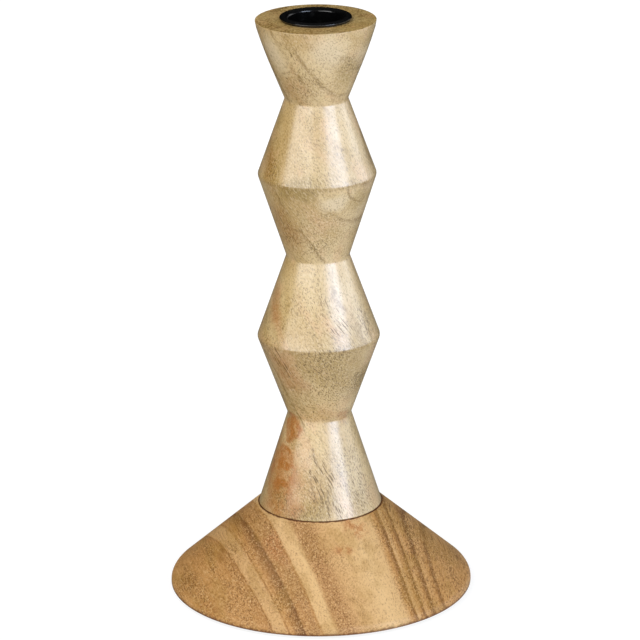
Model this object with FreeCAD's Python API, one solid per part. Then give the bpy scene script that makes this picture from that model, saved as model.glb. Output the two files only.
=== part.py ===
import FreeCAD, Part
import math
import os

# Turned wooden candlestick with a pressed metal candle cup. All lengths are in millimetres.
# +Z runs up the turning axis, Z = 0 is the table that it stands on, and the origin is on the axis.
# The side shown first looks along +Y, with +X to its right.

# Felt pads under the foot
pad_count = 4
pad_diameter = 12.0
pad_thickness = 1.0

# Foot: a turned cone with a softened rim and a shallow dish turned into its underside
foot_diameter = 130.0
foot_top_diameter = 53.4
foot_height = 36.4
foot_rim_height = 2.6
foot_rim_round = 3.5
foot_under_chamfer = 0.5
dish_diameter = 90.0
dish_depth = 1.5
dish_side_run = 1.2

# Stem: six cones end to end, listed upwards by the height of each and the diameter where each ends
stem_base_diameter = 52.8
lowest_cone_height = 40.8
low_neck_diameter = 27.5
low_flare_height = 34.8
low_ridge_diameter = 52.8
middle_taper_height = 35.8
middle_neck_diameter = 27.0
middle_flare_height = 35.8
high_ridge_diameter = 50.6
high_taper_height = 32.5
high_neck_diameter = 27.0
top_flare_height = 33.9
stem_top_diameter = 50.7
stem_base_chamfer = 0.3
stem_top_chamfer = 0.4

# Tenon that the stem plugs into the foot with, and the wood left under its mortise
tenon_diameter = 22.0
tenon_length = 14.0
tenon_end_chamfer = 1.0
tenon_fit_clearance = 0.1
tenon_end_gap = 0.5
foot_web_thickness = 8.0

# Candle cup: deep-drawn sheet whose lip is rolled outwards, tight on itself, and stands on the stem
cup_inner_diameter = 23.0
cup_depth = 24.0
cup_sheet_thickness = 0.6
cup_corner_chamfer = 0.6
cup_lip_width = 3.5
cup_lip_height = 1.75
cup_lip_chamfer = 1.0
cup_fit_clearance = 0.1
cup_floor_gap = 0.5

# Screw and washer that draw the stem down onto the foot
screw_diameter = 5.0
screw_length = 45.0
screw_point_length = 5.0
screw_head_diameter = 10.0
screw_head_height = 3.4
screw_head_chamfer = 1.4
drive_slot_length = 5.4
drive_slot_width = 1.1
drive_slot_depth = 2.0
screw_hole_clearance = 0.1
screw_tip_gap = 2.0
washer_diameter = 15.0
washer_thickness = 1.2
washer_bore_clearance = 0.3
counterbore_clearance = 1.0

# How far a cutting tool runs past the face that it enters by
tool_overrun = 1.0

# The hole that the screw passes through the foot and into the stem by
screw_hole_diameter = screw_diameter + 2 * screw_hole_clearance

# Levels up the axis that the pieces share
foot_under_z = pad_thickness
shoulder_z = foot_under_z + foot_height
mortise_floor_z = shoulder_z - tenon_length - tenon_end_gap
washer_seat_z = mortise_floor_z - foot_web_thickness
screw_seat_z = washer_seat_z - washer_thickness
low_neck_z = shoulder_z + lowest_cone_height
low_ridge_z = low_neck_z + low_flare_height
middle_neck_z = low_ridge_z + middle_taper_height
high_ridge_z = middle_neck_z + middle_flare_height
high_neck_z = high_ridge_z + high_taper_height
stem_top_z = high_neck_z + top_flare_height


def sharp(radius, height):
    """Corner of an outline, left as it is."""
    return FreeCAD.Vector(radius, 0, height), 0, 0


def chamfered(radius, height, cut):
    """Corner of an outline, cut straight across with the same length taken off both sides."""
    return FreeCAD.Vector(radius, 0, height), cut, 0


def rounded(radius, height, rounding):
    """Corner of an outline, rounded with an arc of this radius."""
    return FreeCAD.Vector(radius, 0, height), 0, rounding


def eased(before, corner, after, cut, rounding):
    """Points that take an outline round one of its corners: one, or two of a chamfer, or three of an arc."""
    back = (before - corner).normalize()
    ahead = (after - corner).normalize()
    if cut:
        return [corner + back * cut, corner + ahead * cut]
    if rounding:
        half_angle = back.getAngle(ahead) / 2
        reach = rounding / math.tan(half_angle)
        depth = rounding / math.sin(half_angle) - rounding
        middle = corner + (back + ahead).normalize() * depth
        return [corner + back * reach, middle, corner + ahead * reach]
    return [corner]


def outline(corners):
    """Closed wire beside the axis through these corners, with straight lines between them."""
    turns = []
    for index, (corner, cut, rounding) in enumerate(corners):
        before = corners[index - 1][0]
        after = corners[(index + 1) % len(corners)][0]
        turns.append(eased(before, corner, after, cut, rounding))
    edges = []
    for turn, next_turn in zip(turns, turns[1:] + turns[:1]):
        if len(turn) == 3:
            edges.append(Part.Arc(*turn).toShape())
        if len(turn) == 2:
            edges.append(Part.LineSegment(*turn).toShape())
        edges.append(Part.LineSegment(turn[-1], next_turn[0]).toShape())
    return Part.Wire(edges)


def turned(corners):
    """Solid of revolution about the axis, as it comes off the lathe."""
    face = Part.Face(outline(corners))
    return face.revolve(FreeCAD.Vector(0, 0, 0), FreeCAD.Vector(0, 0, 1), 360)


def hole(diameter, low_z, high_z):
    """Straight round cutting tool on the axis."""
    return Part.makeCylinder(diameter / 2, high_z - low_z, FreeCAD.Vector(0, 0, low_z))


def make_foot():
    """Turned cone with a mortise in its top and a counterbored screw hole from its dished underside."""
    dish_roof_z = foot_under_z + dish_depth
    cone = turned([
        sharp(0, dish_roof_z),
        sharp(dish_diameter / 2 - dish_side_run, dish_roof_z),
        sharp(dish_diameter / 2, foot_under_z),
        chamfered(foot_diameter / 2, foot_under_z, foot_under_chamfer),
        rounded(foot_diameter / 2, foot_under_z + foot_rim_height, foot_rim_round),
        sharp(foot_top_diameter / 2, shoulder_z),
        sharp(0, shoulder_z),
    ])
    mortise_diameter = tenon_diameter + 2 * tenon_fit_clearance
    counterbore_diameter = washer_diameter + 2 * counterbore_clearance
    mortise = hole(mortise_diameter, mortise_floor_z, shoulder_z + tool_overrun)
    screw_hole = hole(screw_hole_diameter, foot_under_z, shoulder_z)
    counterbore = hole(counterbore_diameter, foot_under_z - tool_overrun, washer_seat_z)
    return cone.cut([mortise, screw_hole, counterbore])


def make_stem():
    """Spindle of six cones with a tenon below, a screw hole up its middle and a bore for the cup."""
    tenon_end_z = shoulder_z - tenon_length
    spindle = turned([
        sharp(0, tenon_end_z),
        chamfered(tenon_diameter / 2, tenon_end_z, tenon_end_chamfer),
        sharp(tenon_diameter / 2, shoulder_z),
        chamfered(stem_base_diameter / 2, shoulder_z, stem_base_chamfer),
        sharp(low_neck_diameter / 2, low_neck_z),
        sharp(low_ridge_diameter / 2, low_ridge_z),
        sharp(middle_neck_diameter / 2, middle_neck_z),
        sharp(high_ridge_diameter / 2, high_ridge_z),
        sharp(high_neck_diameter / 2, high_neck_z),
        chamfered(stem_top_diameter / 2, stem_top_z, stem_top_chamfer),
        sharp(0, stem_top_z),
    ])
    cup_bore_diameter = cup_inner_diameter + 2 * cup_sheet_thickness + 2 * cup_fit_clearance
    cup_bore_floor_z = stem_top_z - cup_depth - cup_floor_gap
    cup_bore = hole(cup_bore_diameter, cup_bore_floor_z, stem_top_z + tool_overrun)
    screw_hole_top_z = screw_seat_z + screw_length + screw_tip_gap
    screw_hole = hole(screw_hole_diameter, tenon_end_z - tool_overrun, screw_hole_top_z)
    return spindle.cut([cup_bore, screw_hole])


def make_candle_cup():
    """Cup with a softened floor corner, whose lip stands on the top of the stem."""
    inner = cup_inner_diameter / 2
    outer = inner + cup_sheet_thickness
    lip = inner + cup_lip_width
    crest_z = stem_top_z + cup_lip_height
    under_z = stem_top_z - cup_depth
    return turned([
        sharp(0, under_z),
        chamfered(outer, under_z, cup_corner_chamfer),
        sharp(outer, stem_top_z),
        sharp(lip, stem_top_z),
        chamfered(lip, crest_z, cup_lip_chamfer),
        chamfered(inner, crest_z, cup_lip_chamfer),
        chamfered(inner, under_z + cup_sheet_thickness, cup_corner_chamfer),
        sharp(0, under_z + cup_sheet_thickness),
    ])


def make_stem_screw():
    """Pan-head wood screw, point up, with a cross slot; its thread is shown by its outer cylinder."""
    head_under_z = screw_seat_z - screw_head_height
    tip_z = screw_seat_z + screw_length
    screw = turned([
        sharp(0, head_under_z),
        chamfered(screw_head_diameter / 2, head_under_z, screw_head_chamfer),
        sharp(screw_head_diameter / 2, screw_seat_z),
        sharp(screw_diameter / 2, screw_seat_z),
        sharp(screw_diameter / 2, tip_z - screw_point_length),
        sharp(0, tip_z),
    ])
    slots = []
    for length, width in ((drive_slot_length, drive_slot_width), (drive_slot_width, drive_slot_length)):
        corner = FreeCAD.Vector(-length / 2, -width / 2, head_under_z - tool_overrun)
        slots.append(Part.makeBox(length, width, drive_slot_depth + tool_overrun, corner))
    return screw.cut(slots)


def make_screw_washer():
    """Flat washer between the screw head and the roof of the counterbore."""
    disc = hole(washer_diameter, screw_seat_z, washer_seat_z)
    bore_diameter = screw_diameter + 2 * washer_bore_clearance
    bore = hole(bore_diameter, screw_seat_z - tool_overrun, washer_seat_z + tool_overrun)
    return disc.cut(bore)


def make_felt_pad(index):
    """Round pad on the flat ring of the underside, half way between the dish and the rim."""
    ring_middle = (dish_diameter + foot_diameter) / 4
    angle = 2 * math.pi * (index + 1 / 2) / pad_count
    centre = FreeCAD.Vector(ring_middle * math.cos(angle), ring_middle * math.sin(angle), 0)
    return Part.makeCylinder(pad_diameter / 2, pad_thickness, centre)


pieces = {
    "foot": make_foot(),
    "stem": make_stem(),
    "candle_cup": make_candle_cup(),
    "stem_screw": make_stem_screw(),
    "screw_washer": make_screw_washer(),
}
for index in range(pad_count):
    pieces[f"felt_pad_{index + 1}"] = make_felt_pad(index)

os.makedirs("parts", exist_ok=True)
for name, shape in pieces.items():
    shape.exportStep(f"parts/{name}.step")
    print(f"{name}: {len(shape.Solids)} solid, {shape.Volume:.0f} mm3, valid {shape.isValid()}")
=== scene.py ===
"""Looks of a turned wooden candlestick with a black metal candle cup.

All lengths are metres in the part's own frame: +Z runs up the turning axis, Z = 0 is the table,
and the side in view faces -Y with +X to its right. Finishes measure in millimetres.
"""

import logging
import math
from dataclasses import dataclass
from enum import Enum
from functools import reduce
from typing import Sequence

import bmesh
import bpy
from mathutils import Matrix, Vector


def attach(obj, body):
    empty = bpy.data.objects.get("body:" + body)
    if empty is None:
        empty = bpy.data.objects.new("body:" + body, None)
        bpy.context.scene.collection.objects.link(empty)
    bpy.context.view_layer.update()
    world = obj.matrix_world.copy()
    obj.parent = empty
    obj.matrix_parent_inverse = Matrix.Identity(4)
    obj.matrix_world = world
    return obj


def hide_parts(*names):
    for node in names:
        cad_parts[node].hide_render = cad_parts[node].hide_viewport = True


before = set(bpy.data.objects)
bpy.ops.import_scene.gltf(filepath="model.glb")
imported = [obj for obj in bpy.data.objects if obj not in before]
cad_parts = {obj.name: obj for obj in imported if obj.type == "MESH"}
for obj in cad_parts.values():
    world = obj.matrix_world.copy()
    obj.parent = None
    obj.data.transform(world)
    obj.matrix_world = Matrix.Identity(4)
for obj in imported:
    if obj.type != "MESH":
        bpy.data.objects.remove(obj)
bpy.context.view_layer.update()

Colour = tuple[float, float, float]
Ring = tuple[float, float]  # its radius and height
Piece = bpy.types.Object
Socket = bpy.types.NodeSocket
Value = float | Socket

MM = 0.001
SAME_PLACE = MM / 100  # points nearer to each other than this are one
ON_RING = MM / 50  # edges nearer to a ring than this belong to it
SHARP_ANGLE = 32.0  # edges that turn by more degrees than this stay sharp
SENSOR_MM = 36.0  # width of the camera's sensor
WATTS_PER_M2 = 4.0  # of a lamp whose face is as bright as a fully lit white card
WHITE: Colour = (1.0, 1.0, 1.0)
LOG = logging.getLogger("candlestick")


def srgb(*channels: int) -> Colour:
    """Turns a colour in 8-bit display values into the linear values that shaders take."""
    shares = [channel / 255 for channel in channels]
    return tuple(s / 12.92 if s <= 0.04045 else ((s + 0.055) / 1.055) ** 2.4 for s in shares)


def select_only(piece: Piece | None = None) -> None:
    """Leaves one object selected and active, or none selected.

    Args:
        piece: The object.
    """
    if bpy.context.object and bpy.context.object.mode != "OBJECT":
        bpy.ops.object.mode_set(mode="OBJECT")
    bpy.ops.object.select_all(action="DESELECT")
    if piece:
        piece.select_set(True)
        bpy.context.view_layer.objects.active = piece


class Graph:
    """Adds nodes to one tree and joins them, so that a finish reads as a list of steps."""

    def __init__(self, tree: bpy.types.NodeTree) -> None:
        """Starts on a tree, emptied."""
        self.tree = tree
        self.tree.nodes.clear()

    def put(self, target: Socket, value: object) -> None:
        """Joins a socket to an input, or writes a constant into it.

        Args:
            target: The input.
            value: A socket, a number, a colour or a vector.
        """
        if isinstance(value, bpy.types.NodeSocket):
            self.tree.links.new(value, target)
        elif target.type == "RGBA" and len(value) == 3:
            target.default_value = (*value, 1.0)
        else:
            target.default_value = value

    def node(self, kind: str, inputs: dict[str | int, object] | None = None, **settings: object) -> bpy.types.Node:
        """Adds a node.

        Args:
            kind: The node's type, less the word ShaderNode that most of them start with.
            inputs: Values or sockets by the name or number of the input.
            **settings: The node's own properties.

        Returns:
            The node.
        """
        node = self.tree.nodes.new(kind if kind.startswith("NodeGroup") else f"ShaderNode{kind}")
        for name, setting in settings.items():
            setattr(node, name, setting)
        for key, value in (inputs or {}).items():
            self.put(node.inputs[key], value)
        return node

    def math(self, operation: str, first: Value, second: Value = 0.0) -> Socket:
        """Works out a number from one or two others."""
        return self.node("Math", {0: first, 1: second}, operation=operation).outputs[0]

    def times(self, *factors: Value) -> Socket:
        """Multiplies numbers."""
        return reduce(lambda first, second: self.math("MULTIPLY", first, second), factors)

    def most(self, *values: Value) -> Socket:
        """Picks the largest of some numbers."""
        return reduce(lambda first, second: self.math("MAXIMUM", first, second), values)

    def vector(self, operation: str, first: object, second: object = (0.0, 0.0, 0.0)) -> Socket:
        """Works out a vector from one or two others, or a number for a dot product or a length."""
        node = self.node("VectorMath", {0: first, 1: second}, operation=operation)
        return node.outputs["Value" if operation in ("DOT_PRODUCT", "LENGTH") else "Vector"]

    def scaled(self, vector: Socket, factor: float) -> Socket:
        """Multiplies a vector by a number."""
        return self.node("VectorMath", {"Vector": vector, "Scale": factor}, operation="SCALE").outputs["Vector"]

    def axis(self, vector: Socket, name: str) -> Socket:
        """Takes X, Y or Z out of a vector."""
        return self.node("SeparateXYZ", {0: vector}).outputs[name]

    def blend(self, factor: Value, first: object, second: object, kind: str = "MIX") -> Socket:
        """Mixes a second colour into a first, by a factor."""
        inputs = {0: factor, 6: first, 7: second}
        return self.node("Mix", inputs, data_type="RGBA", blend_type=kind, clamp_factor=True).outputs[2]

    def tint(self, colour: object, mask: Value, strength: float, paint: Colour) -> Socket:
        """Paints over a colour through a mask that is weakened to a strength."""
        return self.blend(self.times(mask, strength), colour, paint)

    def fit(self, value: Value, low: Value, high: Value, to_low: Value = 0.0, to_high: Value = 1.0) -> Socket:
        """Maps the range from low to high smoothly onto another, and holds its ends."""
        inputs = {"Value": value, "From Min": low, "From Max": high, "To Min": to_low, "To Max": to_high}
        return self.node("MapRange", inputs, interpolation_type="SMOOTHSTEP").outputs["Result"]

    def noise(self, place: Socket, size: float, detail: float, roughness: float = 0.5, out: str = "Fac") -> Socket:
        """Reads a Noise Texture, whose largest lumps have a size in the unit of the place."""
        inputs = {"Vector": place, "Scale": 1 / size, "Detail": detail, "Roughness": roughness}
        return self.node("TexNoise", inputs).outputs[out]

    def ramp(self, factor: Socket, stops: Sequence[tuple[float, Colour]]) -> Socket:
        """Reads a Color Ramp.

        Args:
            factor: Where it is read, 0 to 1.
            stops: Position and colour of each stop, in order.

        Returns:
            The colour.
        """
        node = self.node("ValToRGB", {"Fac": factor})
        elements = node.color_ramp.elements
        while len(elements) < len(stops):
            elements.new(1.0)
        for element, (position, colour) in zip(elements, stops):
            element.position = position
            element.color = (*colour, 1.0)
        return node.outputs["Color"]


class Effect(Enum):
    """The effects that more than one finish uses: the name of each one's node group, and its inputs."""

    FIBRES = ("wood fibres", "Width", "Length")
    PORES = ("open pores", "Spacing", "Length", "Size")
    CLOUDS = ("soft clouds", "Sizes", "From", "To")
    BAND = ("band at a height", "Height", "Width")


class EffectGroup(Graph):
    """The node group of one shared effect, with a place and its own inputs in and a mask out."""

    def __init__(self, effect: Effect) -> None:
        """Builds the group.

        Args:
            effect: Which effect.
        """
        name, *inputs = effect.value
        super().__init__(bpy.data.node_groups.new(name, "ShaderNodeTree"))
        for socket in ("Place", *inputs):
            kind = "NodeSocketVector" if socket in ("Place", "Sizes") else "NodeSocketFloat"
            self.tree.interface.new_socket(socket, in_out="INPUT", socket_type=kind)
        self.tree.interface.new_socket("Mask", in_out="OUTPUT", socket_type="NodeSocketFloat")
        self.inputs = self.node("NodeGroupInput").outputs
        drawings = {
            Effect.FIBRES: self._fibres,
            Effect.PORES: self._pores,
            Effect.CLOUDS: self._clouds,
            Effect.BAND: self._band,
        }
        self.node("NodeGroupOutput", {"Mask": drawings[effect]()})

    def _stretched(self, width: str, length: str) -> Socket:
        """Divides the place by one input across the grain and by another along it."""
        size = self.node("CombineXYZ", {0: self.inputs[width], 1: self.inputs[width], 2: self.inputs[length]})
        return self.vector("DIVIDE", self.inputs["Place"], size.outputs[0])

    def _fibres(self) -> Socket:
        """Draws fine streaks along the grain, around one half."""
        return self.noise(self._stretched("Width", "Length"), 1.0, detail=3.0, roughness=0.62)

    def _pores(self) -> Socket:
        """Draws short open pores along the grain.

        Returns:
            One where wood is missing.
        """
        place = self._stretched("Spacing", "Length")
        shaken = self.vector("ADD", place, self.scaled(self.noise(place, 1.7, detail=2.0, out="Color"), 0.35))
        cells = self.node("TexVoronoi", {"Vector": shaken, "Scale": 1.0, "Randomness": 1.0})
        depth = self.math("DIVIDE", cells.outputs["Distance"], self.inputs["Size"])
        return self.fit(depth, 0.55, 1.1, 1.0, 0.0)

    def _clouds(self) -> Socket:
        """Draws large soft patches.

        Returns:
            Nothing up to one end of the lumps' range and one from the other end on.
        """
        place = self.vector("DIVIDE", self.inputs["Place"], self.inputs["Sizes"])
        lumps = self.noise(place, 1.0, detail=2.0, roughness=0.55)
        return self.fit(lumps, self.inputs["From"], self.inputs["To"])

    def _band(self) -> Socket:
        """Draws a worn or dirty band round the axis at one height, broken up by noise.

        Returns:
            One in its middle.
        """
        level = self.axis(self.inputs["Place"], "Z")
        away = self.math("ABSOLUTE", self.math("SUBTRACT", level, self.inputs["Height"]))
        ragged = self.fit(self.noise(self.inputs["Place"], 1.6, detail=3.0), 0.3, 0.7, 0.55, 1.45)
        reach = self.times(self.inputs["Width"], ragged)
        return self.fit(self.math("DIVIDE", away, reach), 0.2, 1.0, 1.0, 0.0)


class Finish(Graph):
    """A finish that can be put on pieces: one material, with the shared effects at hand."""

    name = ""
    slot = ""
    groups: dict[Effect, EffectGroup] = {}  # the shared effects, each built when a finish first uses it

    def __init__(self) -> None:
        """Builds the material."""
        self.material = bpy.data.materials.new(self.name)
        self.material.use_nodes = True
        super().__init__(self.material.node_tree)
        self.place = self.scaled(self.node("TexCoord").outputs["Object"], 1 / MM)
        self.node("OutputMaterial", {"Surface": self.build()})

    def build(self) -> Socket:
        """Builds the finish and returns its shader."""
        raise NotImplementedError

    def dress(self, piece: Piece, node: str) -> Piece:
        """Puts the finish on a piece, hangs it under the root body and hides the solid that it replaces.

        Args:
            piece: The piece.
            node: The node of the solid that it replaces.

        Returns:
            The same piece.
        """
        piece.data.materials.append(self.material)
        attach(piece, "root")
        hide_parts(node)
        return piece

    def _effect(self, effect: Effect, *values: object) -> Socket:
        """Places a shared effect.

        Args:
            effect: Which effect.
            *values: What goes into its inputs, in order.

        Returns:
            Its mask.
        """
        if effect not in self.groups:
            self.groups[effect] = EffectGroup(effect)
        node = self.node("Group", node_tree=self.groups[effect].tree)
        for target, value in zip(node.inputs, values):
            self.put(target, value)
        return node.outputs[0]

    def fibres(self, place: Socket, width: float, length: float) -> Socket:
        """Draws fine streaks along the grain, around one half."""
        return self._effect(Effect.FIBRES, place, width, length)

    def pores(self, place: Socket, spacing: float, length: float, size: Value) -> Socket:
        """Draws open pores along the grain, each as large as a share of its cell."""
        return self._effect(Effect.PORES, place, spacing, length, size)

    def clouds(self, place: Socket, sizes: tuple[float, float, float], low: float, high: float) -> Socket:
        """Draws soft patches, which start at one level of the lumps and are full at another."""
        return self._effect(Effect.CLOUDS, place, sizes, low, high)

    def band(self, height: float, width: float) -> Socket:
        """Draws a ragged band round the axis."""
        return self._effect(Effect.BAND, self.place, height, width)

    def wander(self, place: Socket, size: float, reach: tuple[float, float, float]) -> Socket:
        """Shifts a place about, so that what is drawn there bends as it does in grown wood.

        Args:
            place: The place that is shifted.
            size: How wide its bends are.
            reach: How far it shifts along each axis.

        Returns:
            The shifted place.
        """
        lumps = self.noise(self.place, size, detail=2.0, out="Color")
        shift = self.vector("MULTIPLY", self.vector("SUBTRACT", lumps, (0.5, 0.5, 0.5)), reach)
        return self.vector("ADD", place, shift)

    def bump(self, height: Socket, depth: float) -> Socket:
        """Raises the surface by a height map, where 1 stands as high as the depth."""
        return self.node("Bump", {"Height": height, "Strength": 1.0, "Distance": depth * MM}).outputs["Normal"]


@dataclass(frozen=True)
class GrowthLine:
    """One line or band of the timber's growth layers."""

    depth: float  # how deep in the growth layers it lies, in mm
    tone: float  # 0 for the darkest late wood to 1 for the palest early wood
    bloom: float = 0.0  # how full it is of mauve pores


@dataclass(frozen=True)
class Timber:
    """How a blank was cut from the tree: the directions of its grain and the order of its growth layers."""

    growth: Vector  # across the growth layers
    grain: Vector  # along the fibres
    fan: float  # how much the layers spread across the blank, per mm
    lines: tuple[GrowthLine, ...]  # the growth layers that show, in order

    def axes(self) -> tuple[Vector, Vector, Vector]:
        """Works out the square axes of the blank.

        Returns:
            Across its layers, along its face and along its grain.
        """
        along = (self.grain - self.growth * self.grain.dot(self.growth) / self.growth.length_squared).normalized()
        across = self.growth.normalized()
        return across, along.cross(across), along


@dataclass(frozen=True)
class Patch:
    """A soft patch of figure at one place in a blank."""

    centre: tuple[float, float, float]  # its middle in the piece, in mm
    reach: tuple[float, float, float]  # in mm across the growth layers, along them and along the grain
    strength: float  # at its middle
    full: float = 0.25  # the share of its reach inside which it has that strength


def patches(*rows: tuple[float, ...]) -> tuple[Patch, ...]:
    """Makes patches from rows of numbers: three for the centre, three for the reach, strength and full share."""
    return tuple(Patch(row[:3], row[3:6], *row[6:]) for row in rows)


class Wood(Finish):
    """A wood that is cut from a blank of timber."""

    timber: Timber
    patch_end = 1.05  # the share of its reach at which a patch ends
    outline = (0.09, 0.01)  # where its outline ends and where it is full, as shares of the reach from its edge

    def _blank(self) -> Socket:
        """Turns the place in the piece into the place in the blank, X across its layers and Z along its grain."""
        parts = [self.vector("DOT_PRODUCT", self.place, tuple(axis)) for axis in self.timber.axes()]
        return self.node("CombineXYZ", dict(enumerate(parts))).outputs[0]

    def _layers(self, depth: Socket) -> tuple[Socket, Socket]:
        """Reads the growth layers.

        Args:
            depth: How deep in the layers this place is.

        Returns:
            The tone, 0 for late wood to 1 for early wood, and the bloom of mauve pores.
        """
        lines = self.timber.lines
        first, last = lines[0].depth, lines[-1].depth
        spread = self.times(self.axis(self.place, "X"), self.axis(self.place, "Y"), self.timber.fan)
        at = self.math("DIVIDE", self.math("SUBTRACT", self.math("ADD", depth, spread), first), last - first)
        stops = [((line.depth - first) / (last - first), (line.tone, line.bloom, 0.0)) for line in lines]
        shares = self.node("SeparateColor", {0: self.ramp(at, stops)}).outputs
        return shares[0], shares[1]

    def _patches(self, blank: Socket, figure: Sequence[Patch], outlined: bool = False) -> Socket:
        """Draws soft patches into the blank.

        Args:
            blank: The place in the blank.
            figure: The patches.
            outlined: Whether only their thin outlines are drawn.

        Returns:
            Their mask.
        """
        mask: Value = 0.0
        for patch in figure:
            centre = [Vector(patch.centre).dot(axis) for axis in self.timber.axes()]
            away = self.vector("DIVIDE", self.vector("SUBTRACT", blank, centre), patch.reach)
            away = self.vector("LENGTH", away)
            if outlined:
                off = self.math("ABSOLUTE", self.math("SUBTRACT", away, 1.0))
                one = self.fit(off, *self.outline, 0.0, patch.strength)
            else:
                one = self.fit(away, self.patch_end, patch.full, 0.0, patch.strength)
            mask = self.most(mask, one)
        return mask


class StemWood(Wood):
    """Pale honey hardwood with slanting growth lines, open pores and a satin lacquer."""

    name = "pale_turned_wood"
    slot = "stem_wood"
    timber = Timber(
        growth=Vector((1.0, -0.58, 0.544)),
        grain=Vector((-0.45, 0.10, 0.887)),
        fan=0.0,
        lines=tuple(GrowthLine(*row) for row in (
            (10.0, 0.55), (25.9, 0.55), (27.4, 0.10), (28.2, 0.66), (31.8, 0.60), (33.4, 0.00), (34.0, 0.74),
            (36.8, 0.60), (38.0, 0.20), (38.8, 0.72), (43.0, 0.35), (50.0, 0.72), (62.0, 0.55), (70.5, 0.42),
            (72.0, 0.15), (73.0, 0.62), (85.8, 0.55), (88.2, 0.08), (88.9, 0.66), (98.4, 0.58), (101.2, 0.10),
            (101.9, 0.70), (105.0, 0.52), (107.2, 0.08), (108.0, 0.62), (114.5, 0.45), (115.6, 0.20),
            (116.2, 0.60), (119.0, 0.25), (121.0, 0.72), (140.0, 0.62),
        )),
    )
    pale_patches = patches(
        (-19, -14, 241, 8, 8, 14, 0.75), (6, -22, 243, 10, 10, 13, 0.75), (20.5, -12, 184, 5, 6, 9, 0.30),
        (6.5, -22.5, 179, 8.5, 9, 5.2, 0.82), (19.5, -11, 234, 7, 9, 18, 0.40), (18, -10, 166, 7, 9, 20, 0.32),
        (12, -18, 132, 8, 12, 24, 0.50), (17, -17, 56, 9, 11, 24, 0.40),
    )
    pore_patches = patches(
        (16, -15, 232, 6, 9, 11, 0.70), (-23.5, -8, 230, 7, 7, 12, 0.50), (-5, -15, 229, 14, 15, 15, 0.46),
        (2, -17, 166, 22, 22, 20, 0.34), (-20, -14, 190, 8, 8, 14, 0.65), (0, -25, 188, 14, 14, 6, 0.40),
        (-13, -14, 164, 9, 9, 16, 0.55), (1, -15, 156, 9, 12, 8, 0.60), (21.5, -13, 122, 7, 9, 16, 0.80),
        (1, -25, 108, 20, 24, 12, 0.66), (5, -21, 97, 20, 20, 16, 0.60), (0, -15, 82, 9, 12, 8, 0.50),
        (17, -13, 96, 8, 10, 18, 0.95), (16, -16, 52, 11, 12, 26, 0.72), (-6, -20, 131, 13, 14, 20, 0.30),
        (-2, -21, 47, 7, 9, 20, 0.55), (-16, -15, 44, 8, 10, 12, 0.75), (-10, -23, 40, 16, 14, 8, 0.60),
    )
    olive_patches = patches(
        (14, -15, 231, 9, 10, 9, 0.45), (-6, -23, 183, 16, 16, 6, 0.75), (17, -17, 177, 8, 9, 9, 0.50),
        (6, -24, 106, 24, 24, 16, 0.52), (14, -14, 92, 9, 10, 16, 0.45), (-8, -23, 40.5, 20, 18, 9, 0.72, 0.45),
    )
    streak_patches = patches(
        (8, -21, 124, 7, 11, 24, 0.62), (-10, -20, 243, 4, 6, 9, 0.80), (-16, -18, 106, 5, 8, 16, 0.90),
        (1, -22, 52, 8, 11, 26, 1.00),
    )
    caramel_patches = patches(
        (-8, -13, 225, 11, 12, 10, 0.22), (-20, -11, 192, 6, 9, 20, 0.32), (-14, -12, 165, 10, 12, 17, 0.36),
        (-18.5, -9, 130, 6, 9, 26, 0.62), (-15, -16, 101, 9, 12, 16, 0.50), (10.5, -11, 79, 3.2, 5, 5, 0.60),
        (-11.6, -9.4, 74.5, 6, 8, 5.5, 0.90, 0.70), (-16, -10.5, 62.5, 6.6, 8, 8.5, 0.95, 0.65),
        (-17.5, -11.5, 56, 14, 18, 32, 0.95), (-8, -20, 54, 9, 10, 20, 0.22), (-21, -11, 48, 6, 8, 9, 0.65, 0.60),
        (-19, -18, 41, 16, 15, 10, 0.70, 0.45),
    )
    worn_patches = patches(
        (-9, -18, 131, 14, 15, 24, 0.55), (-14, -16, 57, 14, 16, 32, 0.66), (-7, -13, 74, 11, 12, 14, 0.60),
        (-12, -21, 42, 19, 18, 12, 0.70),
    )
    plain_patches = patches((-2, -17, 205, 22, 22, 22, 0.90))
    ovals = patches((19, -15, 187, 9, 10, 10, 0.80))
    honey = srgb(188, 155, 95)
    cream = srgb(208, 179, 126)
    rosy = srgb(208, 166, 116)
    olive = srgb(150, 122, 46)
    sap = srgb(216, 194, 154)
    caramel = srgb(166, 98, 26)
    line_brown = srgb(134, 100, 26)
    pore_brown = srgb(96, 70, 14)
    end_grain = srgb(236, 234, 214)
    end_pores = srgb(160, 142, 84)
    # colour of the painted shade in the crease where the stem meets the foot
    joint_shade_brown = srgb(80, 34, 0)
    ridges_z = (113.0, 184.6)
    joint_z = 37.4
    top_z = 251.0

    def build(self) -> Socket:
        """Builds the stem's wood.

        Returns:
            Its shader.
        """
        blank = self.wander(self._blank(), 38.0, (8.0, 8.0, 14.0))
        rough = self.wander(blank, 5.0, (2.6, 2.6, 6.0))

        colour = self.blend(self.clouds(rough, (11.0, 15.0, 36.0), 0.36, 0.66), self.honey, self.cream)
        colour = self.tint(colour, self.clouds(rough, (8.0, 10.0, 19.0), 0.48, 0.70), 0.65, self.rosy)
        pale = self._patches(rough, self.pale_patches)
        colour = self.blend(pale, colour, self.sap)

        crowd = self.times(self.clouds(rough, (7.0, 11.0, 22.0), 0.46, 0.66), 0.35)
        crowd = self.most(crowd, self._patches(rough, self.pore_patches))
        crowd = self.times(crowd, self.fit(pale, 0.0, 0.8, 1.0, 0.25))
        greened = self.most(self.times(crowd, 0.55), self._patches(rough, self.olive_patches))
        colour = self.blend(greened, colour, self.olive)

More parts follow.
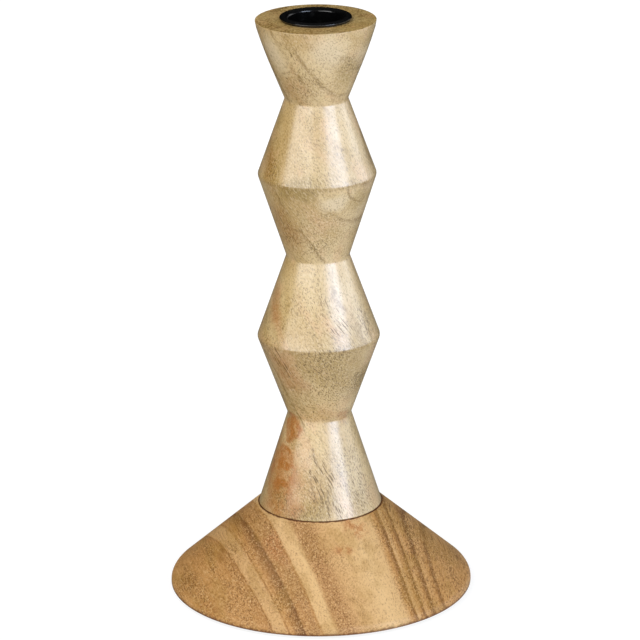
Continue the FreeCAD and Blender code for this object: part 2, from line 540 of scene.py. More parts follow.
        tone, _ = self._layers(self.axis(rough, "X"))
        plain = self._patches(rough, self.plain_patches)
        late = self.times(self.fit(tone, 0.50, 0.10, 0.0, 0.8), self.fit(plain, 0.0, 1.0, 1.0, 0.0))
        late = self.most(late, self._patches(rough, self.ovals, outlined=True))
        seen = self.clouds(self.place, (13.0, 13.0, 15.0), 0.42, 0.58)
        colour = self.blend(self.times(late, self.fit(seen, 0.0, 1.0, 0.1, 0.9)), colour, self.line_brown)
        mottle = self.fit(self.fibres(blank, 4.0, 5.0), 0.35, 0.60, 0.50, 1.0)
        stain = self.times(mottle, self._patches(rough, self.caramel_patches))
        colour = self.blend(stain, colour, self.caramel)
        for ridge_z in self.ridges_z:
            colour = self.tint(colour, self.band(ridge_z, 1.7), 0.34, self.line_brown)

        fibres = self.fibres(blank, 0.50, 9.0)
        colour = self.blend(self.fit(fibres, 0.52, 0.74, 0.0, 0.26), colour, self.olive)
        colour = self.blend(self.fit(fibres, 0.48, 0.26, 0.0, 0.24), colour, self.sap)
        speckle = self.fibres(blank, 0.60, 1.3)
        dark = self.fit(crowd, 0.0, 1.0, 0.42, 0.88)
        light = self.fit(stain, 0.0, 0.9, 0.42, 0.12)
        colour = self.blend(self.fit(speckle, 0.52, 0.65, 0.0, dark), colour, self.pore_brown)
        colour = self.blend(self.fit(speckle, 0.48, 0.35, 0.0, light), colour, self.sap)

        streaks = self.most(self.times(crowd, 0.7), self._patches(rough, self.streak_patches))
        fine = self.pores(blank, 0.70, 1.9, self.fit(crowd, 0.0, 1.0, 0.18, 0.42))
        long = self.pores(blank, 0.80, 12.0, self.fit(streaks, 0.0, 1.0, 0.08, 0.44))
        pores = self.most(fine, long)
        colour = self.tint(colour, pores, 0.84, self.pore_brown)

        facing = self.axis(self.node("NewGeometry").outputs["True Normal"], "Z")
        end_face = self.fit(facing, 0.55, 0.95)
        patchy = self.fit(self.clouds(self.place, (9.0, 13.0, 9.0), 0.40, 0.62), 0.0, 1.0, 0.55, 1.0)
        mottle = self.fit(self.fibres(self.place, 0.9, 3.0), 0.42, 0.60, 0.0, patchy)
        mottled = self.blend(mottle, self.end_grain, self.end_pores)
        colour = self.blend(end_face, colour, self.blend(1.0, colour, mottled, "MULTIPLY"))

        # Painted highlight: the outer edge at the top is painted paler, where it catches the light.
        arris_highlight = self.times(self.band(self.top_z, 0.5), self.fit(end_face, 0.5, 1.0, 0.35, 0.0))
        colour = self.blend(arris_highlight, colour, self.cream)
        # Painted shade: the crease where the stem stands on the foot is darkened brown, as shade falls there.
        joint_shade = self.band(self.joint_z, 0.26)
        colour = self.tint(colour, joint_shade, 0.9, self.joint_shade_brown)

        dull = self.most(self.times(pores, 0.55), end_face, joint_shade)
        lacquer = self.fit(self.clouds(rough, (6.0, 7.0, 12.0), 0.34, 0.60), 0.0, 1.0, 0.84, 0.98)
        unworn = self.math("SUBTRACT", 1.0, self._patches(rough, self.worn_patches))
        return self.node("BsdfPrincipled", {
            "Base Color": colour,
            "Roughness": self.math("ADD", self.fit(fibres, 0.3, 0.7, 0.30, 0.40), self.times(dull, 0.3)),
            "IOR": 1.5,
            "Specular IOR Level": 0.4,
            "Normal": self.bump(self.math("SUBTRACT", self.times(fibres, 0.3), pores), 0.018),
            "Coat Weight": self.times(self.fit(dull, 0.0, 1.0, 1.0, 0.0), lacquer, unworn),
            "Coat Roughness": 0.26,
            "Coat IOR": 2.1,
        }).outputs[0]


class FootWood(Wood):
    """Warm brown hardwood, cut so that its growth layers stripe the foot."""

    name = "warm_turned_wood"
    slot = "foot_wood"
    timber = Timber(
        growth=Vector((1.0, 0.205, 0.472)),
        grain=Vector((-0.20, 0.98, 0.0)),
        fan=-0.0041 / 1.1247,
        lines=tuple(GrowthLine(*row) for row in (
            (-62.0, 0.40), (-40.0, 0.34), (-33.8, 0.28), (-33.3, 0.05), (-32.8, 0.60), (-27.0, 0.62),
            (-26.2, 0.04), (-25.8, 0.42), (-18.4, 0.02, 0.1), (-18.0, 0.34, 0.4), (-11.5, 0.46, 0.6),
            (-10.2, 0.30, 0.4), (-9.4, 0.78), (-3.6, 0.84), (-1.3, 0.44, 0.6), (3.5, 0.42, 0.8), (9.0, 0.62, 0.2),
            (16.0, 0.74), (24.0, 0.92), (31.0, 0.76), (33.6, 0.34), (35.8, 0.00), (36.3, 0.70), (37.8, 0.42),
            (40.0, 0.00), (40.5, 0.60), (44.2, 0.00), (44.7, 0.50), (47.2, 0.36), (48.6, 0.00), (49.0, 0.40),
            (64.0, 0.36),
        )),
    )
    umber_patches = patches(
        (-56.5, -21, 7, 7, 13, 14, 0.60), (-41, -23, 20, 5, 9, 12, 0.55), (-48, -10, 16, 4, 7, 9, 0.40),
        (-29, -10, 32, 5, 7, 12, 0.45),
    )
    knots = patches(
        (-51, -18, 12, 5.5, 11, 13, 0.60), (-42, -24, 19, 6.5, 12, 15, 0.40),
    )
    rust_patches = patches(
        (-19.9, -31, 28.2, 5, 16, 14, 0.55), (14.6, -25.7, 34.8, 7, 10, 8, 0.70),
        (9.9, -35.5, 28.2, 6, 9, 3, 0.60), (-48, -42, 3, 6, 12, 12, 0.35),
    )
    late_brown = srgb(110, 66, 20)
    caramel = srgb(184, 133, 72)
    straw = srgb(218, 182, 128)
    mauve = srgb(150, 104, 64)
    olive = srgb(160, 120, 50)
    rust = srgb(172, 104, 46)
    pore_brown = srgb(88, 52, 18)
    # colour of the painted shade at the joint and under the rim
    shade_brown = srgb(80, 36, 2)
    umber = srgb(136, 92, 28)
    joint_z = 37.4
    under_z = 1.0

    def build(self) -> Socket:
        """Builds the foot's wood.

        Returns:
            Its shader.
        """
        blank = self.wander(self._blank(), 34.0, (2.6, 6.0, 10.0))
        rough = self.wander(blank, 3.0, (0.7, 0.7, 0.7))
        depth = self.axis(rough, "X")
        tone, bloom = self._layers(depth)
        colour = self.ramp(tone, ((0.0, self.late_brown), (0.34, self.caramel), (1.0, self.straw)))
        colour = self.tint(colour, self.clouds(blank, (9.0, 14.0, 22.0), 0.46, 0.60), 0.38, self.olive)
        colour = self.tint(colour, bloom, 0.55, self.mauve)
        flecks = self.fit(self.fibres(rough, 2.2, 2.6), 0.40, 0.58, 0.15, 1.0)
        colour = self.blend(self.times(flecks, self._patches(rough, self.rust_patches)), colour, self.rust)
        lumps = self.fit(self.fibres(rough, 3.4, 5.0), 0.38, 0.60, 0.10, 1.0)
        knotty = self._patches(rough, self.umber_patches)
        knotty = self.most(knotty, self._patches(rough, self.knots, outlined=True))
        colour = self.blend(self.times(lumps, knotty), colour, self.umber)

        fibres = self.fibres(blank, 0.7, 24.0)
        streaky = self.fit(depth, 31.0, 37.0, 0.50, 1.0)
        colour = self.blend(self.fit(fibres, 0.50, 0.72, 0.0, streaky), colour, self.late_brown)
        colour = self.blend(self.fit(fibres, 0.50, 0.25, 0.0, 0.40), colour, self.straw)

        crowd = self.most(self.clouds(blank, (7.0, 12.0, 30.0), 0.38, 0.66), bloom)
        smooth = self.fit(tone, 0.48, 0.80, 1.0, 0.30)
        speckle = self.fibres(blank, 0.62, 1.0)
        dark = self.times(self.fit(crowd, 0.0, 1.0, 0.26, 0.74), smooth)
        light = self.times(self.fit(crowd, 0.0, 1.0, 0.30, 0.62), smooth)
        colour = self.blend(self.fit(speckle, 0.50, 0.68, 0.0, dark), colour, self.pore_brown)
        colour = self.blend(self.fit(speckle, 0.48, 0.32, 0.0, light), colour, self.straw)
        fine = self.pores(blank, 0.70, 1.6, self.fit(crowd, 0.0, 1.0, 0.12, 0.34))
        pores = self.most(fine, self.pores(blank, 1.3, 9.0, 0.14))
        colour = self.blend(self.times(pores, self.times(smooth, 0.60)), colour, self.pore_brown)

        # Painted shade: the crease under the stem and the rim's lower edge are darkened brown, where shade falls.
        joint_shade = self.band(self.joint_z, 0.36)
        painted_shade = self.most(self.times(joint_shade, 0.92), self.times(self.band(self.under_z, 1.5), 0.75))
        colour = self.blend(painted_shade, colour, self.shade_brown)
        return self.node("BsdfPrincipled", {
            "Base Color": colour,
            "Roughness": self.math("ADD", self.fit(fibres, 0.3, 0.7, 0.46, 0.56), self.times(pores, 0.2)),
            "Specular IOR Level": 0.35,
            "Normal": self.bump(self.math("SUBTRACT", self.times(fibres, 0.35), pores), 0.035),
            "Coat Weight": self.fit(self.most(pores, joint_shade), 0.0, 1.0, 0.12, 0.0),
            "Coat Roughness": 0.25,
        }).outputs[0]


class CupLacquer(Finish):
    """Gloss black lacquer over drawn sheet steel, thinner where the lip rolls over."""

    name = "gloss_black_lacquer"
    slot = "cup_lacquer"
    crest_z = 252.75

    def build(self) -> Socket:
        """Builds the cup's lacquer.

        Returns:
            Its shader.
        """
        dust = self.clouds(self.place, (3.0, 3.0, 3.0), 0.52, 0.80)
        colour = self.blend(self.times(dust, 0.5), srgb(5, 5, 5), srgb(14, 14, 14))
        colour = self.tint(colour, self.band(self.crest_z, 0.25), 0.3, srgb(24, 23, 22))
        peel = self.times(self.noise(self.place, 1.4, detail=1.0), 0.5)
        return self.node("BsdfPrincipled", {
            "Base Color": colour,
            "Roughness": self.fit(dust, 0.0, 1.0, 0.17, 0.26),
            "Specular IOR Level": 1.0,
            "Normal": self.bump(self.math("ADD", peel, self.pores(self.place, 1.6, 1.6, 0.09)), 0.006),
        }).outputs[0]


class ZincPlate(Finish):
    """Bright zinc plating, faintly mottled and scratched round the axis."""

    name = "zinc_plated_steel"
    slot = "zinc_steel"

    def build(self) -> Socket:
        """Builds the plating.

        Returns:
            Its shader.
        """
        mottle = self.clouds(self.place, (2.2, 2.2, 2.2), 0.34, 0.68)
        scratch = self.fibres(self.place, 0.12, 3.0)
        colour = self.blend(mottle, srgb(188, 190, 192), srgb(206, 204, 196))
        return self.node("BsdfPrincipled", {
            "Base Color": self.blend(self.fit(scratch, 0.62, 0.80, 0.0, 0.5), colour, srgb(150, 150, 150)),
            "Metallic": 1.0,
            "Roughness": self.fit(scratch, 0.3, 0.7, 0.24, 0.42),
            "Normal": self.bump(scratch, 0.01),
        }).outputs[0]


class PressedFelt(Finish):
    """Dark pressed felt with loose fibres and lint."""

    name = "dark_pressed_felt"
    slot = "felt"

    def build(self) -> Socket:
        """Builds the felt.

        Returns:
            Its shader.
        """
        tangle = self.noise(self.place, 0.35, detail=5.0, roughness=0.75)
        lint = self.fibres(self.place, 0.10, 1.6)
        colour = self.clouds(self.place, (2.5, 2.5, 2.5), 0.3, 0.7)
        colour = self.blend(colour, srgb(52, 44, 38), srgb(66, 58, 50))
        colour = self.blend(self.fit(tangle, 0.35, 0.65, 0.5, 0.0), colour, srgb(26, 22, 20))
        return self.node("BsdfPrincipled", {
            "Base Color": self.blend(self.fit(lint, 0.66, 0.80, 0.0, 0.6), colour, srgb(120, 110, 98)),
            "Roughness": 0.95,
            "Normal": self.bump(tangle, 0.16),
            "Sheen Weight": 0.5,
            "Sheen Roughness": 0.5,
        }).outputs[0]


class WhitePaper(Finish):
    """Paper that the camera sees as white with a soft shadow on it, and not at all from below."""

    name = "white_paper"
    shadow_from = 100.0  # radius inside which the paper shows the shadow fully
    shadow_to = 260.0  # radius outside which it is plain white
    shadow_depth = 0.22
    glow = 1.1
    mirrored_dim = 0.08  # how bright the painted light that shiny pieces see on it is on the left
    mirrored_bright = 0.62  # how bright that painted light is at the front right, under the strip
    bright_way = (0.64, -0.77, 0.0)

    def build(self) -> Socket:
        """Builds the paper.

        Returns:
            Its shader.
        """
        rays = self.node("LightPath").outputs
        seen = self.most(rays["Is Camera Ray"], rays["Is Transmission Ray"])
        near = self.fit(self.vector("LENGTH", self.place), self.shadow_from, self.shadow_to, 1.0, 0.0)
        shown = self.times(seen, self.math("SUBTRACT", 1.0, self.times(near, self.shadow_depth)))
        grain = self.fit(self.noise(self.place, 1.5, detail=3.0), 0.3, 0.7, 0.84, 0.88)
        paper = self.node("BsdfDiffuse", {"Color": grain}).outputs[0]
        glow = self.node("Emission", {"Color": WHITE, "Strength": self.glow}).outputs[0]
        # Painted light: for shiny pieces the paper glows, dim on the left and brighter at the front right, as if the
        # strip lit it there.
        side = self.vector("DOT_PRODUCT", self.vector("NORMALIZE", self.place), self.bright_way)
        painted_floor_light = self.fit(side, -0.6, 1.0, self.mirrored_dim, self.mirrored_bright)
        painted_floor_light = self.node("Emission", {"Color": WHITE, "Strength": painted_floor_light}).outputs[0]
        clear = self.node("BsdfTransparent").outputs[0]
        under = self.node("NewGeometry").outputs["Backfacing"]
        shader = paper
        for share, other in ((shown, glow), (rays["Is Glossy Ray"], painted_floor_light), (under, clear)):
            shader = self.node("MixShader", {0: share, 1: shader, 2: other}).outputs[0]
        return shader


class Lathe:
    """Turns a round piece on the part's axis with edit-mode operators, ring by ring."""

    def __init__(self, name: str, start: Ring, filled: bool = True, segments: int = 192) -> None:
        """Starts with one ring of the blank.

        Args:
            name: The piece's name.
            start: The ring's radius and height.
            filled: Whether a face closes it; it then travels along and closes the far end too.
            segments: How many sides the ring has.
        """
        self.radius, self.height = start
        select_only()
        bpy.ops.mesh.primitive_circle_add(
            vertices=segments,
            radius=self.radius,
            fill_type="NGON" if filled else "NOTHING",
            location=(0, 0, self.height),
        )
        self.piece = bpy.context.object
        self.piece.name = name
        self.piece.data.name = name
        bpy.ops.object.transform_apply(location=True, rotation=True, scale=True)
        bpy.ops.object.mode_set(mode="EDIT")
        bpy.ops.mesh.select_mode(type="FACE" if filled else "EDGE")
        bpy.ops.mesh.select_all(action="SELECT")

    def turn(self, *rings: Ring) -> None:
        """Draws the last ring out, one step for each new ring.

        Args:
            *rings: Their radii and heights.
        """
        for radius, height in rings:
            bpy.ops.mesh.extrude_region_move(TRANSFORM_OT_translate={"value": (0, 0, height - self.height)})
            share = radius / self.radius
            bpy.ops.transform.resize(value=(share, share, 1.0), center_override=(0, 0, height))
            self.radius, self.height = radius, height

    def sweep(self, centre: Ring, radii: tuple[float, float], start: float, end: float, steps: int) -> None:
        """Draws the last ring along an arc of a circle or an upright ellipse.

        Args:
            centre: Radius and height of the arc's centre.
            radii: The arc's own radius sideways and upwards.
            start: The angle of its start, in degrees, 0 pointing away from the axis and 90 up.
            end: The angle of its end.
            steps: How many rings it takes.
        """
        for step in range(steps + 1):
            angle = math.radians(start + (end - start) * step / steps)
            ring = (centre[0] + radii[0] * math.cos(angle), centre[1] + radii[1] * math.sin(angle))
            if math.dist(ring, (self.radius, self.height)) > SAME_PLACE:
                self.turn(ring)

    def score(self, *heights: float) -> None:
        """Cuts rings into the surface, which hold the shading of the edges beside them.

        Args:
            *heights: Where they lie.
        """
        for height in heights:
            bpy.ops.mesh.select_all(action="SELECT")
            bpy.ops.mesh.bisect(plane_co=(0, 0, height), plane_no=(0, 0, 1))

    def ease(self, reach: float, *rings: Ring, steps: int = 4) -> None:
        """Rounds rings over.

        Args:
            reach: How far the rounding reaches on both sides.
            *rings: Their radii and heights.
            steps: How many faces the rounding takes.
        """
        for ring in rings:
            bpy.ops.mesh.select_mode(type="EDGE")
            bpy.ops.mesh.select_all(action="DESELECT")
            edit = bmesh.from_edit_mesh(self.piece.data)
            for edge in edit.edges:
                edge.select = max(math.dist((v.co.xy.length, v.co.z), ring) for v in edge.verts) < ON_RING
            edit.select_flush_mode()
            bmesh.update_edit_mesh(self.piece.data)
            bpy.ops.mesh.bevel(offset=reach, offset_type="OFFSET", segments=steps, profile=0.5, affect="EDGES")

    def join_ends(self) -> None:
        """Merges the last ring with the first, where they meet."""
        bpy.ops.mesh.select_all(action="SELECT")
        bpy.ops.mesh.remove_doubles(threshold=SAME_PLACE)

    def finish(self, sharp_angle: float = SHARP_ANGLE) -> Piece:
        """Takes the piece off: faces outwards, smooth but for its sharp edges.

        Args:
            sharp_angle: Edges that turn by more than this many degrees stay sharp.

        Returns:
            The piece.
        """
        bpy.ops.mesh.select_all(action="SELECT")
        bpy.ops.mesh.normals_make_consistent(inside=False)
        bpy.ops.object.mode_set(mode="OBJECT")
        bpy.ops.object.shade_smooth_by_angle(angle=math.radians(sharp_angle))
        return self.piece


@dataclass
class Foot:
    """The turned foot with its mortise, screw hole and dished underside."""

    radius: float = 65.0 * MM  # at the rim
    top_radius: float = 26.7 * MM  # where the stem stands on it
    under_z: float = 1.0 * MM
    shoulder_z: float = 37.4 * MM  # its top
    rim_z: float = 3.6 * MM  # where the rim's side would meet the slope
    rim_reach: float = 1.57 * MM  # how far the rim's rounding reaches
    arris_reach: float = 0.22 * MM  # how far the smaller edges are eased
    dish_radius: float = 45.0 * MM  # at its mouth
    dish_side_run: float = 1.2 * MM  # how far the dish's side leans in
    dish_depth: float = 1.5 * MM
    counterbore_radius: float = 8.5 * MM  # of the hole that hides the screw head
    washer_seat_z: float = 14.9 * MM  # the roof of that hole
    hole_radius: float = 2.6 * MM  # of the screw hole
    mortise_floor_z: float = 22.9 * MM
    mortise_radius: float = 11.1 * MM

    def build(self, finish: Finish) -> Piece:
        """Turns the foot and gives it its finish.

        Args:
            finish: Its wood.

        Returns:
            The piece.
        """
        roof_z = self.under_z + self.dish_depth
        lathe = Lathe("turned_foot", (self.radius, self.under_z), filled=False)
        lathe.turn(
            (self.radius, self.rim_z),
            (self.top_radius, self.shoulder_z),
            (self.mortise_radius, self.shoulder_z),
            (self.mortise_radius, self.mortise_floor_z),
            (self.hole_radius, self.mortise_floor_z),
            (self.hole_radius, self.washer_seat_z),
            (self.counterbore_radius, self.washer_seat_z),
            (self.counterbore_radius, roof_z),
            (self.dish_radius - self.dish_side_run, roof_z),
            (self.dish_radius, self.under_z),
            (self.radius, self.under_z),
        )
        lathe.join_ends()
        lathe.score(self.rim_z + 2.0 * self.rim_reach, self.shoulder_z - 2.0 * self.arris_reach)
        lathe.ease(self.rim_reach, (self.radius, self.rim_z), steps=8)
        lathe.ease(self.arris_reach, (self.radius, self.under_z), (self.top_radius, self.shoulder_z))
        return finish.dress(lathe.finish(), "foot")


@dataclass
class Stem:
    """The spindle of six cones with its tenon, screw hole and bore for the cup."""

    base_radius: float = 26.4 * MM  # where it stands on the foot
    necks: tuple[Ring, ...] = ((13.6 * MM, 78.2 * MM), (13.4 * MM, 148.8 * MM), (13.3 * MM, 217.4 * MM))
    ridges: tuple[Ring, ...] = ((26.2 * MM, 113.0 * MM), (25.1 * MM, 184.6 * MM))
    swell: tuple[Ring, ...] = (  # the top cone, which the turner left slightly full
        (15.55 * MM, 223.0 * MM),
        (17.75 * MM, 228.5 * MM),
        (19.95 * MM, 234.0 * MM),
        (21.80 * MM, 239.0 * MM),
        (23.45 * MM, 243.8 * MM),
        (24.85 * MM, 248.2 * MM),
    )
    top_radius: float = 25.35 * MM
    shoulder_z: float = 37.4 * MM  # where it stands on the foot
    top_z: float = 251.0 * MM
    tenon_radius: float = 11.0 * MM
    tenon_end_z: float = 23.4 * MM
    hole_radius: float = 2.6 * MM  # of the screw hole
    hole_top_z: float = 60.7 * MM
    bore_radius: float = 12.2 * MM  # of the bore for the cup
    bore_floor_z: float = 226.5 * MM
    ridge_reach: float = 0.8 * MM  # how far a ridge is rounded
    neck_reach: float = 0.7 * MM  # how far a neck is rounded
    arris_reach: float = 0.22 * MM  # how far the end edges are eased

    def build(self, finish: Finish) -> Piece:
        """Turns the stem and gives it its finish.

        Args:
            finish: Its wood.

        Returns:
            The piece.
        """
        foot_edge, top_edge = (self.base_radius, self.shoulder_z), (self.top_radius, self.top_z)
        tenon_edge = (self.tenon_radius, self.tenon_end_z)
        lathe = Lathe("turned_stem", (self.hole_radius, self.hole_top_z))
        lathe.turn((self.hole_radius, self.tenon_end_z), tenon_edge, (self.tenon_radius, self.shoulder_z), foot_edge)
        lathe.turn(*sorted((*self.necks, *self.ridges, *self.swell), key=lambda ring: ring[1]), top_edge)
        lathe.turn((self.bore_radius, self.top_z), (self.bore_radius, self.bore_floor_z))
        lathe.score(self.shoulder_z + 2 * self.arris_reach, self.top_z - 2 * self.arris_reach)
        for reach, rings in ((self.ridge_reach, self.ridges), (self.neck_reach, self.necks)):
            for _, height in rings:
                lathe.score(height - 2 * reach, height + 2 * reach)
        lathe.ease(self.ridge_reach, *self.ridges)
        lathe.ease(self.neck_reach, *self.necks, steps=5)
        lathe.ease(self.arris_reach, tenon_edge, foot_edge, top_edge)
        return finish.dress(lathe.finish(), "stem")


@dataclass
class CandleCup:
    """The drawn metal cup, whose throat flares out to a low lip that lies on the top of the stem."""

    inner_radius: float = 11.5 * MM  # of its bore
    sheet: float = 0.6 * MM  # thickness
    seat_z: float = 251.0 * MM  # the top of the stem
    depth: float = 24.0 * MM  # how far it reaches down from there
    crest_z: float = 252.75 * MM  # the highest ring of its lip
    throat: tuple[float, float] = (2.15 * MM, 2.2 * MM)  # how far it opens outwards, over what height
    throat_end: float = 24.5  # where it meets the bore, in degrees above the ellipse's flank
    brim: tuple[float, float] = (1.7 * MM, 0.75 * MM)  # how far the lip falls outwards, over what height
    brim_end: float = -48.6  # where that fall stops, in degrees above its flank
    corner_round: float = 1.2 * MM  # inner radius where its floor meets its wall

    def build(self, finish: Finish) -> Piece:
        """Draws the cup from its floor, over its lip and down its bore, and gives it its finish.

        Args:
            finish: Its lacquer.

        Returns:
            The piece.
        """
        outer_corner = self.corner_round + self.sheet
        under_z = self.seat_z - self.depth
        corner = (self.inner_radius - self.corner_round, under_z + outer_corner)
        crest_radius = self.inner_radius + self.throat[0] * math.cos(math.radians(self.throat_end))
        brim_radius = crest_radius + self.brim[0] * math.cos(math.radians(self.brim_end))
        lathe = Lathe("drawn_candle_cup", (corner[0], under_z), segments=160)
        lathe.sweep(corner, (outer_corner, outer_corner), -90, 0, steps=6)
        lathe.turn((self.inner_radius + self.sheet, self.seat_z), (brim_radius, self.seat_z))
        lathe.sweep((crest_radius, self.crest_z - self.brim[1]), self.brim, self.brim_end, 90, steps=12)
        lathe.sweep((crest_radius, self.crest_z - self.throat[1]), self.throat, 90, 180 - self.throat_end, steps=18)
        lathe.turn((self.inner_radius, corner[1]))
        lathe.sweep(corner, (self.corner_round, self.corner_round), 0, -90, steps=6)
        return finish.dress(lathe.finish(sharp_angle=18.0), "candle_cup")


@dataclass
class ScrewAndWasher:
    """The cross-slot wood screw and its washer, which draw the stem down onto the foot."""

    seat_z: float = 13.7 * MM  # where the head bears on the washer
    radius: float = 2.5 * MM  # of the shank
    head_radius: float = 5.0 * MM
    head_height: float = 3.4 * MM
    head_side: float = 0.9 * MM  # height of the head's straight side
    dome_steps: int = 8
    length: float = 45.0 * MM  # from the seat to the tip
    point: float = 5.0 * MM  # length of the tip's taper
    tip_radius: float = 0.15 * MM
    slot_length: float = 5.4 * MM  # of each arm of the cross slot, end to end
    slot_width: float = 1.1 * MM
    slot_depth: float = 2.0 * MM
    slot_taper: float = 0.45  # the share of its size that the slot's wedge ends with
    washer_radius: float = 7.5 * MM
    washer_bore: float = 2.8 * MM  # radius of its hole
    washer_thickness: float = 1.2 * MM
    washer_ease: float = 0.15 * MM  # how far the washer's edges are eased

    def build(self, finish: Finish) -> list[Piece]:
        """Makes the screw and the washer and gives them their plating."""
        return [finish.dress(self._screw(), "stem_screw"), finish.dress(self._washer(), "screw_washer")]

    def _screw(self) -> Piece:
        """Turns the screw, point first, and cuts its cross slot.

        Returns:
            The screw.
        """
        tip_z = self.seat_z + self.length
        side_z = self.seat_z - self.head_side
        dome = side_z - (self.seat_z - self.head_height)
        lathe = Lathe("pan_head_screw", (self.tip_radius, tip_z), segments=64)
        lathe.turn((self.radius, tip_z - self.point), (self.radius, self.seat_z))
        lathe.turn((self.head_radius, self.seat_z), (self.head_radius, side_z))
        for step in range(1, self.dome_steps):
            angle = math.radians(90 * step / self.dome_steps)
            lathe.turn((self.head_radius * math.cos(angle), side_z - dome * math.sin(angle)))
        screw = lathe.finish()
        for turn in (0.0, 90.0):
            self._cut_slot(screw, turn)
        select_only(screw)
        bpy.ops.object.shade_smooth_by_angle(angle=math.radians(SHARP_ANGLE))
        return screw

    def _cut_slot(self, screw: Piece, turn: float) -> None:
        """Cuts one arm of the cross slot with a wedge that narrows as it goes in.

        Args:
            screw: The screw.
            turn: The arm's direction, in degrees.
        """
        under_z = self.seat_z - self.head_height
        select_only()
        bpy.ops.mesh.primitive_cube_add(size=1.0, location=(0, 0, under_z))
        wedge = bpy.context.object
        wedge.scale = (self.slot_length, self.slot_width, 2 * self.slot_depth)
        wedge.rotation_euler.z = math.radians(turn)
        bpy.ops.object.transform_apply(location=True, rotation=True, scale=True)
        bpy.ops.object.mode_set(mode="EDIT")
        bpy.ops.mesh.select_mode(type="FACE")
        bpy.ops.mesh.select_all(action="DESELECT")
        edit = bmesh.from_edit_mesh(wedge.data)
        for face in edit.faces:
            face.select = face.normal.z > 0.9  # the wedge's upper face
        bmesh.update_edit_mesh(wedge.data)
        share = (self.slot_taper, self.slot_taper, 1.0)
        bpy.ops.transform.resize(value=share, center_override=(0, 0, under_z + self.slot_depth))
        select_only(screw)
        cut = screw.modifiers.new("cross slot", "BOOLEAN")
        cut.operation = "DIFFERENCE"
        cut.solver = "EXACT"
        cut.object = wedge
        bpy.ops.object.modifier_apply(modifier=cut.name)
        bpy.data.objects.remove(wedge)

    def _washer(self) -> Piece:
        """Stamps the flat washer.

        Returns:
            The washer.
        """
        bore, rim, top_z = self.washer_bore, self.washer_radius, self.seat_z + self.washer_thickness
        corners = ((bore, self.seat_z), (bore, top_z), (rim, self.seat_z), (rim, top_z))
        lathe = Lathe("flat_washer", corners[0], filled=False, segments=96)
        lathe.turn(corners[2], corners[3], corners[1], corners[0])
        lathe.join_ends()
        lathe.ease(self.washer_ease, *corners, steps=3)
        return lathe.finish()


@dataclass
class FeltPads:
    """The round felt pads under the foot."""

    count: int = 4
    radius: float = 6.0 * MM
    thickness: float = 1.0 * MM
    ring_radius: float = 55.0 * MM  # of the circle that their middles lie on
    edge_round: float = 0.35 * MM  # how far their lower edge is rounded by use
    fuzz: float = 0.03 * MM  # how far the felt's surface wanders

    def build(self, finish: Finish) -> list[Piece]:
        """Makes one pad, copies it round the foot and gives all of them their finish.

        Args:
            finish: Their felt.

        Returns:
            The pads.
        """
        pads = [self._pad()]
        for _ in range(1, self.count):
            pads.append(bpy.data.objects.new("felt_disc", pads[0].data.copy()))
            bpy.context.scene.collection.objects.link(pads[-1])
        for index, pad in enumerate(pads):
            pad.name = f"felt_disc_{index + 1}"
            angle = 2 * math.pi * (index + 0.5) / self.count
            pad.data.transform(Matrix.Translation(Vector((math.cos(angle), math.sin(angle), 0)) * self.ring_radius))
            finish.dress(pad, f"felt_pad_{index + 1}")
        return pads

    def _pad(self) -> Piece:
        """Punches one pad on the axis.

        Returns:
            The pad.
        """
        inner = self.radius - self.fuzz
        corner = (inner - self.edge_round, self.edge_round)
        lathe = Lathe("felt_disc", (inner, self.thickness), segments=72)
        lathe.turn((inner, self.edge_round))
        lathe.sweep(corner, (self.edge_round, self.edge_round - self.fuzz), 0, -90, steps=4)
        lathe.turn(*((corner[0] * share, self.fuzz) for share in (0.75, 0.5, 0.25)))
        bpy.ops.mesh.select_all(action="SELECT")
        bpy.ops.transform.vertex_random(offset=self.fuzz, seed=7)
        return lathe.finish(sharp_angle=60.0)


@dataclass
class Lamp:
    """A rectangular softbox that faces the middle of the candlestick. Its angles are degrees."""

    name: str
    azimuth: float  # where its middle stands, from the viewer's side towards +X
    elevation: float  # how high its middle stands
    spread: float  # how wide it is as the candlestick sees it
    rise: float  # how tall it is as the candlestick sees it
    radiance: float  # how bright its face is, where 1 is a fully lit white card
    tint: Colour = WHITE
    mirrored: bool = True  # whether shiny surfaces show it, or a flag hides it from them
    distance: float = 2.4  # from the middle of the candlestick

    def build(self, target: Vector) -> None:
        """Sets the lamp up.

        Args:
            target: What it faces.
        """
        data = bpy.data.lights.new(self.name, "AREA")
        data.shape = "RECTANGLE"
        data.size = 2 * self.distance * math.tan(math.radians(self.spread / 2))
        data.size_y = 2 * self.distance * math.tan(math.radians(self.rise / 2))
        data.energy = self.radiance * WATTS_PER_M2 * data.size * data.size_y
        data.color = self.tint
        lamp = bpy.data.objects.new(self.name, data)
        turn, rise = math.radians(self.azimuth), math.radians(self.elevation)
        away = Vector((math.sin(turn) * math.cos(rise), -math.cos(turn) * math.cos(rise), math.sin(rise)))
        lamp.location = target + away * self.distance
        lamp.rotation_euler = (-away).to_track_quat("-Z", "Y").to_euler()
        lamp.visible_glossy = self.mirrored
        bpy.context.scene.collection.objects.link(lamp)


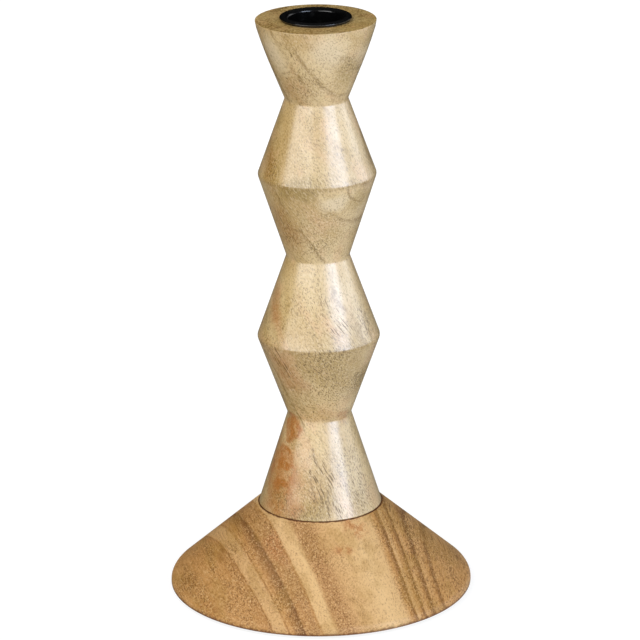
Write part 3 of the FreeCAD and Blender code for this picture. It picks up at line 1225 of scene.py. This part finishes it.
@dataclass
class Studio:
    """The white floor, the lamps, the room's own light and the camera."""

    aim: Vector  # what the camera looks at
    tilt: float = 18.74  # how far the camera looks down, in degrees
    distance: float = 1.692  # from the camera to its aim
    lens_mm: float = 223.7
    roll: float = 0.55  # how far the camera is turned about its own axis, in degrees
    floor_size: float = 6.0
    floor_z: float = -0.2 * MM
    dim_side: float = 0.06  # level of the room low on the left
    ceiling: float = 0.50  # level of the room overhead
    ceiling_fade: tuple[float, float] = (0.35, 0.75)  # heights between which that light comes in
    ceiling_mirrored: float = 0.05  # the share of it that shiny pieces see
    bright_side: float = 1.0  # level of the room on the right and behind
    bright_way: tuple[float, float, float] = (0.91, 0.42, 0.0)  # the direction of that side
    bright_edge: tuple[float, float] = (0.80, 0.97)  # cosines from there between which its light comes in
    bright_fade: tuple[float, float] = (0.25, 0.50)  # heights between which its light goes out
    bright_share: float = 0.5  # the share of it that plain surfaces see
    bright_mirrored: float = 0.8  # the share of it that shiny pieces see

    def build(self) -> None:
        """Sets up the studio."""
        self._floor()
        self._room()
        for lamp in (
            Lamp("front_left_softbox", -44.0, 24.0, 52.0, 46.0, 1.60),
            Lamp("front_fill_card", 5.0, 17.0, 46.0, 28.0, 1.15),
            Lamp("front_right_strip", 46.0, 24.0, 34.0, 46.0, 2.38, tint=(0.82, 0.94, 1.18)),
            Lamp("right_softbox", 80.0, 12.0, 66.0, 20.0, 1.25, tint=(0.94, 1.0, 1.10)),
            Lamp("high_left_softbox", -95.0, 58.0, 50.0, 40.0, 1.10, mirrored=False),
        ):
            lamp.build(self.aim)
        self._camera()
        bpy.context.scene.view_settings.view_transform = "Standard"

    def _floor(self) -> None:
        """Lays the paper floor."""
        select_only()
        bpy.ops.mesh.primitive_plane_add(size=self.floor_size, location=(0, 0, self.floor_z))
        bpy.ops.object.transform_apply(location=True, rotation=True, scale=True)
        floor = bpy.context.object
        floor.name = "paper_floor"
        floor.data.materials.append(WhitePaper().material)

    def _room(self) -> None:
        """Lights the room dimly from the left and well from the right, and shows it white to the camera."""
        world = bpy.data.worlds.new("studio_room")
        bpy.context.scene.world = world
        world.use_nodes = True
        graph = Graph(world.node_tree)
        rays = graph.node("LightPath").outputs
        glossy = rays["Is Glossy Ray"]
        way = graph.vector("NORMALIZE", graph.node("TexCoord").outputs["Generated"])
        height = graph.axis(way, "Z")
        level = graph.fit(graph.math("ABSOLUTE", height), *self.bright_fade, 1.0, 0.0)
        side = graph.vector("DOT_PRODUCT", way, self.bright_way)
        side = graph.fit(side, *self.bright_edge, 0.0, self.bright_side)
        side = graph.times(side, level, graph.fit(glossy, 0.0, 1.0, self.bright_share, self.bright_mirrored))
        ceiling = graph.fit(height, *self.ceiling_fade, self.dim_side, self.ceiling)
        ceiling = graph.times(ceiling, graph.fit(glossy, 0.0, 1.0, 1.0, self.ceiling_mirrored))
        seen = graph.most(rays["Is Camera Ray"], rays["Is Transmission Ray"])
        room = graph.node("Background", {"Color": WHITE, "Strength": graph.most(ceiling, side)}).outputs[0]
        paper = graph.node("Background", {"Color": WHITE, "Strength": 1.0}).outputs[0]
        both = graph.node("MixShader", {0: seen, 1: room, 2: paper}).outputs[0]
        graph.node("OutputWorld", {"Surface": both})

    def _camera(self) -> None:
        """Places the camera as the photograph shows the piece."""
        data = bpy.data.cameras.new("studio_camera")
        data.lens = self.lens_mm
        data.sensor_width = SENSOR_MM
        data.clip_start = 0.05
        camera = bpy.data.objects.new("studio_camera", data)
        tilt = math.radians(self.tilt)
        ahead = Vector((0, math.cos(tilt), -math.sin(tilt)))
        camera.location = self.aim - ahead * self.distance
        turn = ahead.to_track_quat("-Z", "Y").to_matrix() @ Matrix.Rotation(math.radians(-self.roll), 3, "Z")
        camera.rotation_euler = turn.to_euler()
        bpy.context.scene.collection.objects.link(camera)
        bpy.context.scene.camera = camera


def main() -> None:
    """Builds and dresses every piece, then the studio."""
    logging.basicConfig(level=logging.INFO, format="%(name)s: %(message)s")
    pieces = [
        Foot().build(FootWood()),
        Stem().build(StemWood()),
        CandleCup().build(CupLacquer()),
        *ScrewAndWasher().build(ZincPlate()),
        *FeltPads().build(PressedFelt()),
    ]
    for piece in pieces:
        LOG.info("%s: %d faces", piece.name, len(piece.data.polygons))
    Studio(aim=Vector((0.0006, 0.0, 0.1192))).build()


if __name__ == "__main__":
    main()
